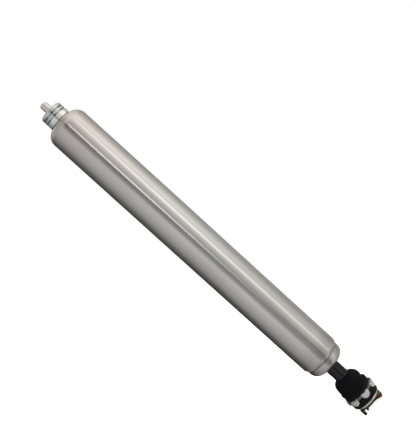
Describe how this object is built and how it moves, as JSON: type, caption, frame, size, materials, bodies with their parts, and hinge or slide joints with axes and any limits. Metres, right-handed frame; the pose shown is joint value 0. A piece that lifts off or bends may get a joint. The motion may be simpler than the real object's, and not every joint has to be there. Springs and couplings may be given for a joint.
{
  "type": "chair gas lift cylinder",
  "caption": "Lockable gas spring for a swivel chair: steel tube with valve neck and release pin, sliding piston rod, rubber bumper, ball thrust bearing and retaining clip.",
  "frame": {"origin": "on the axis, at the lowest point of the retaining clip", "axes": "+Z along the axis from the foot to the release pin; +X towards the closed end of the retaining clip"},
  "size_m": [0.028, 0.028, 0.2833],
  "materials": {
    "ground_steel": "ground across the axis",
    "zinc_plate": "bright zinc plate",
    "pin_steel": "turned",
    "nitrided_rod": "black nitrided and polished",
    "black_rubber": "moulded, matt",
    "black_steel": "black oxide",
    "cage_plastic": "moulded, matt",
    "ball_steel": "polished",
    "washer_steel": "plated",
    "clip_steel": "spring steel, brown",
    "plain_steel": "drawn",
    "piston_aluminium": "turned",
    "seal_rubber": "moulded, oiled",
    "valve_brass": "turned",
    "guide_plastic": "moulded"
  },
  "bodies": {
    "foot": {"lower_race": "black_steel"},
    "bearing": {"ball_cage": "cage_plastic", "bearing_balls": "ball_steel"},
    "rod": {"piston_rod": "nitrided_rod", "rubber_bumper": "black_rubber", "upper_race": "black_steel", "foot_washer": "washer_steel", "retaining_clip": "clip_steel", "piston": "piston_aluminium", "piston_seal": "seal_rubber", "piston_washer": "plain_steel"},
    "cylinder": {"pressure_tube": "ground_steel", "inner_tube": "plain_steel", "valve_body": "zinc_plate", "head_seal": "seal_rubber", "spigot_seal": "seal_rubber", "stem_guide": "valve_brass", "stem_seals": "seal_rubber", "port_sleeve": "valve_brass", "valve_seat": "valve_brass", "rod_guide": "guide_plastic", "support_washer": "plain_steel", "rod_seal": "seal_rubber", "centring_sleeve": "guide_plastic"},
    "valve": {"release_pin": "pin_steel", "valve_stem": "plain_steel"}
  },
  "joints": [
    {"name": "swivel", "type": "hinge", "parent": "foot", "child": "rod", "pos_m": [0, 0, 0.0117], "axis": [0, 0, 1], "continuous": true},
    {"name": "cage_turn", "type": "hinge", "parent": "foot", "child": "bearing", "pos_m": [0, 0, 0.0117], "axis": [0, 0, 1], "continuous": true},
    {"name": "stroke", "type": "slide", "parent": "rod", "child": "cylinder", "axis": [0, 0, 1], "range_m": [-0.0096, 0.1304]},
    {"name": "release", "type": "slide", "parent": "cylinder", "child": "valve", "axis": [0, 0, -1], "range_m": [0, 0.0035], "stiffness_N_per_m": 400, "springref_m": -0.01}
  ],
  "couplings": [
    {"joint": "cage_turn", "follows": "swivel", "ratio": 0.5}
  ]
}
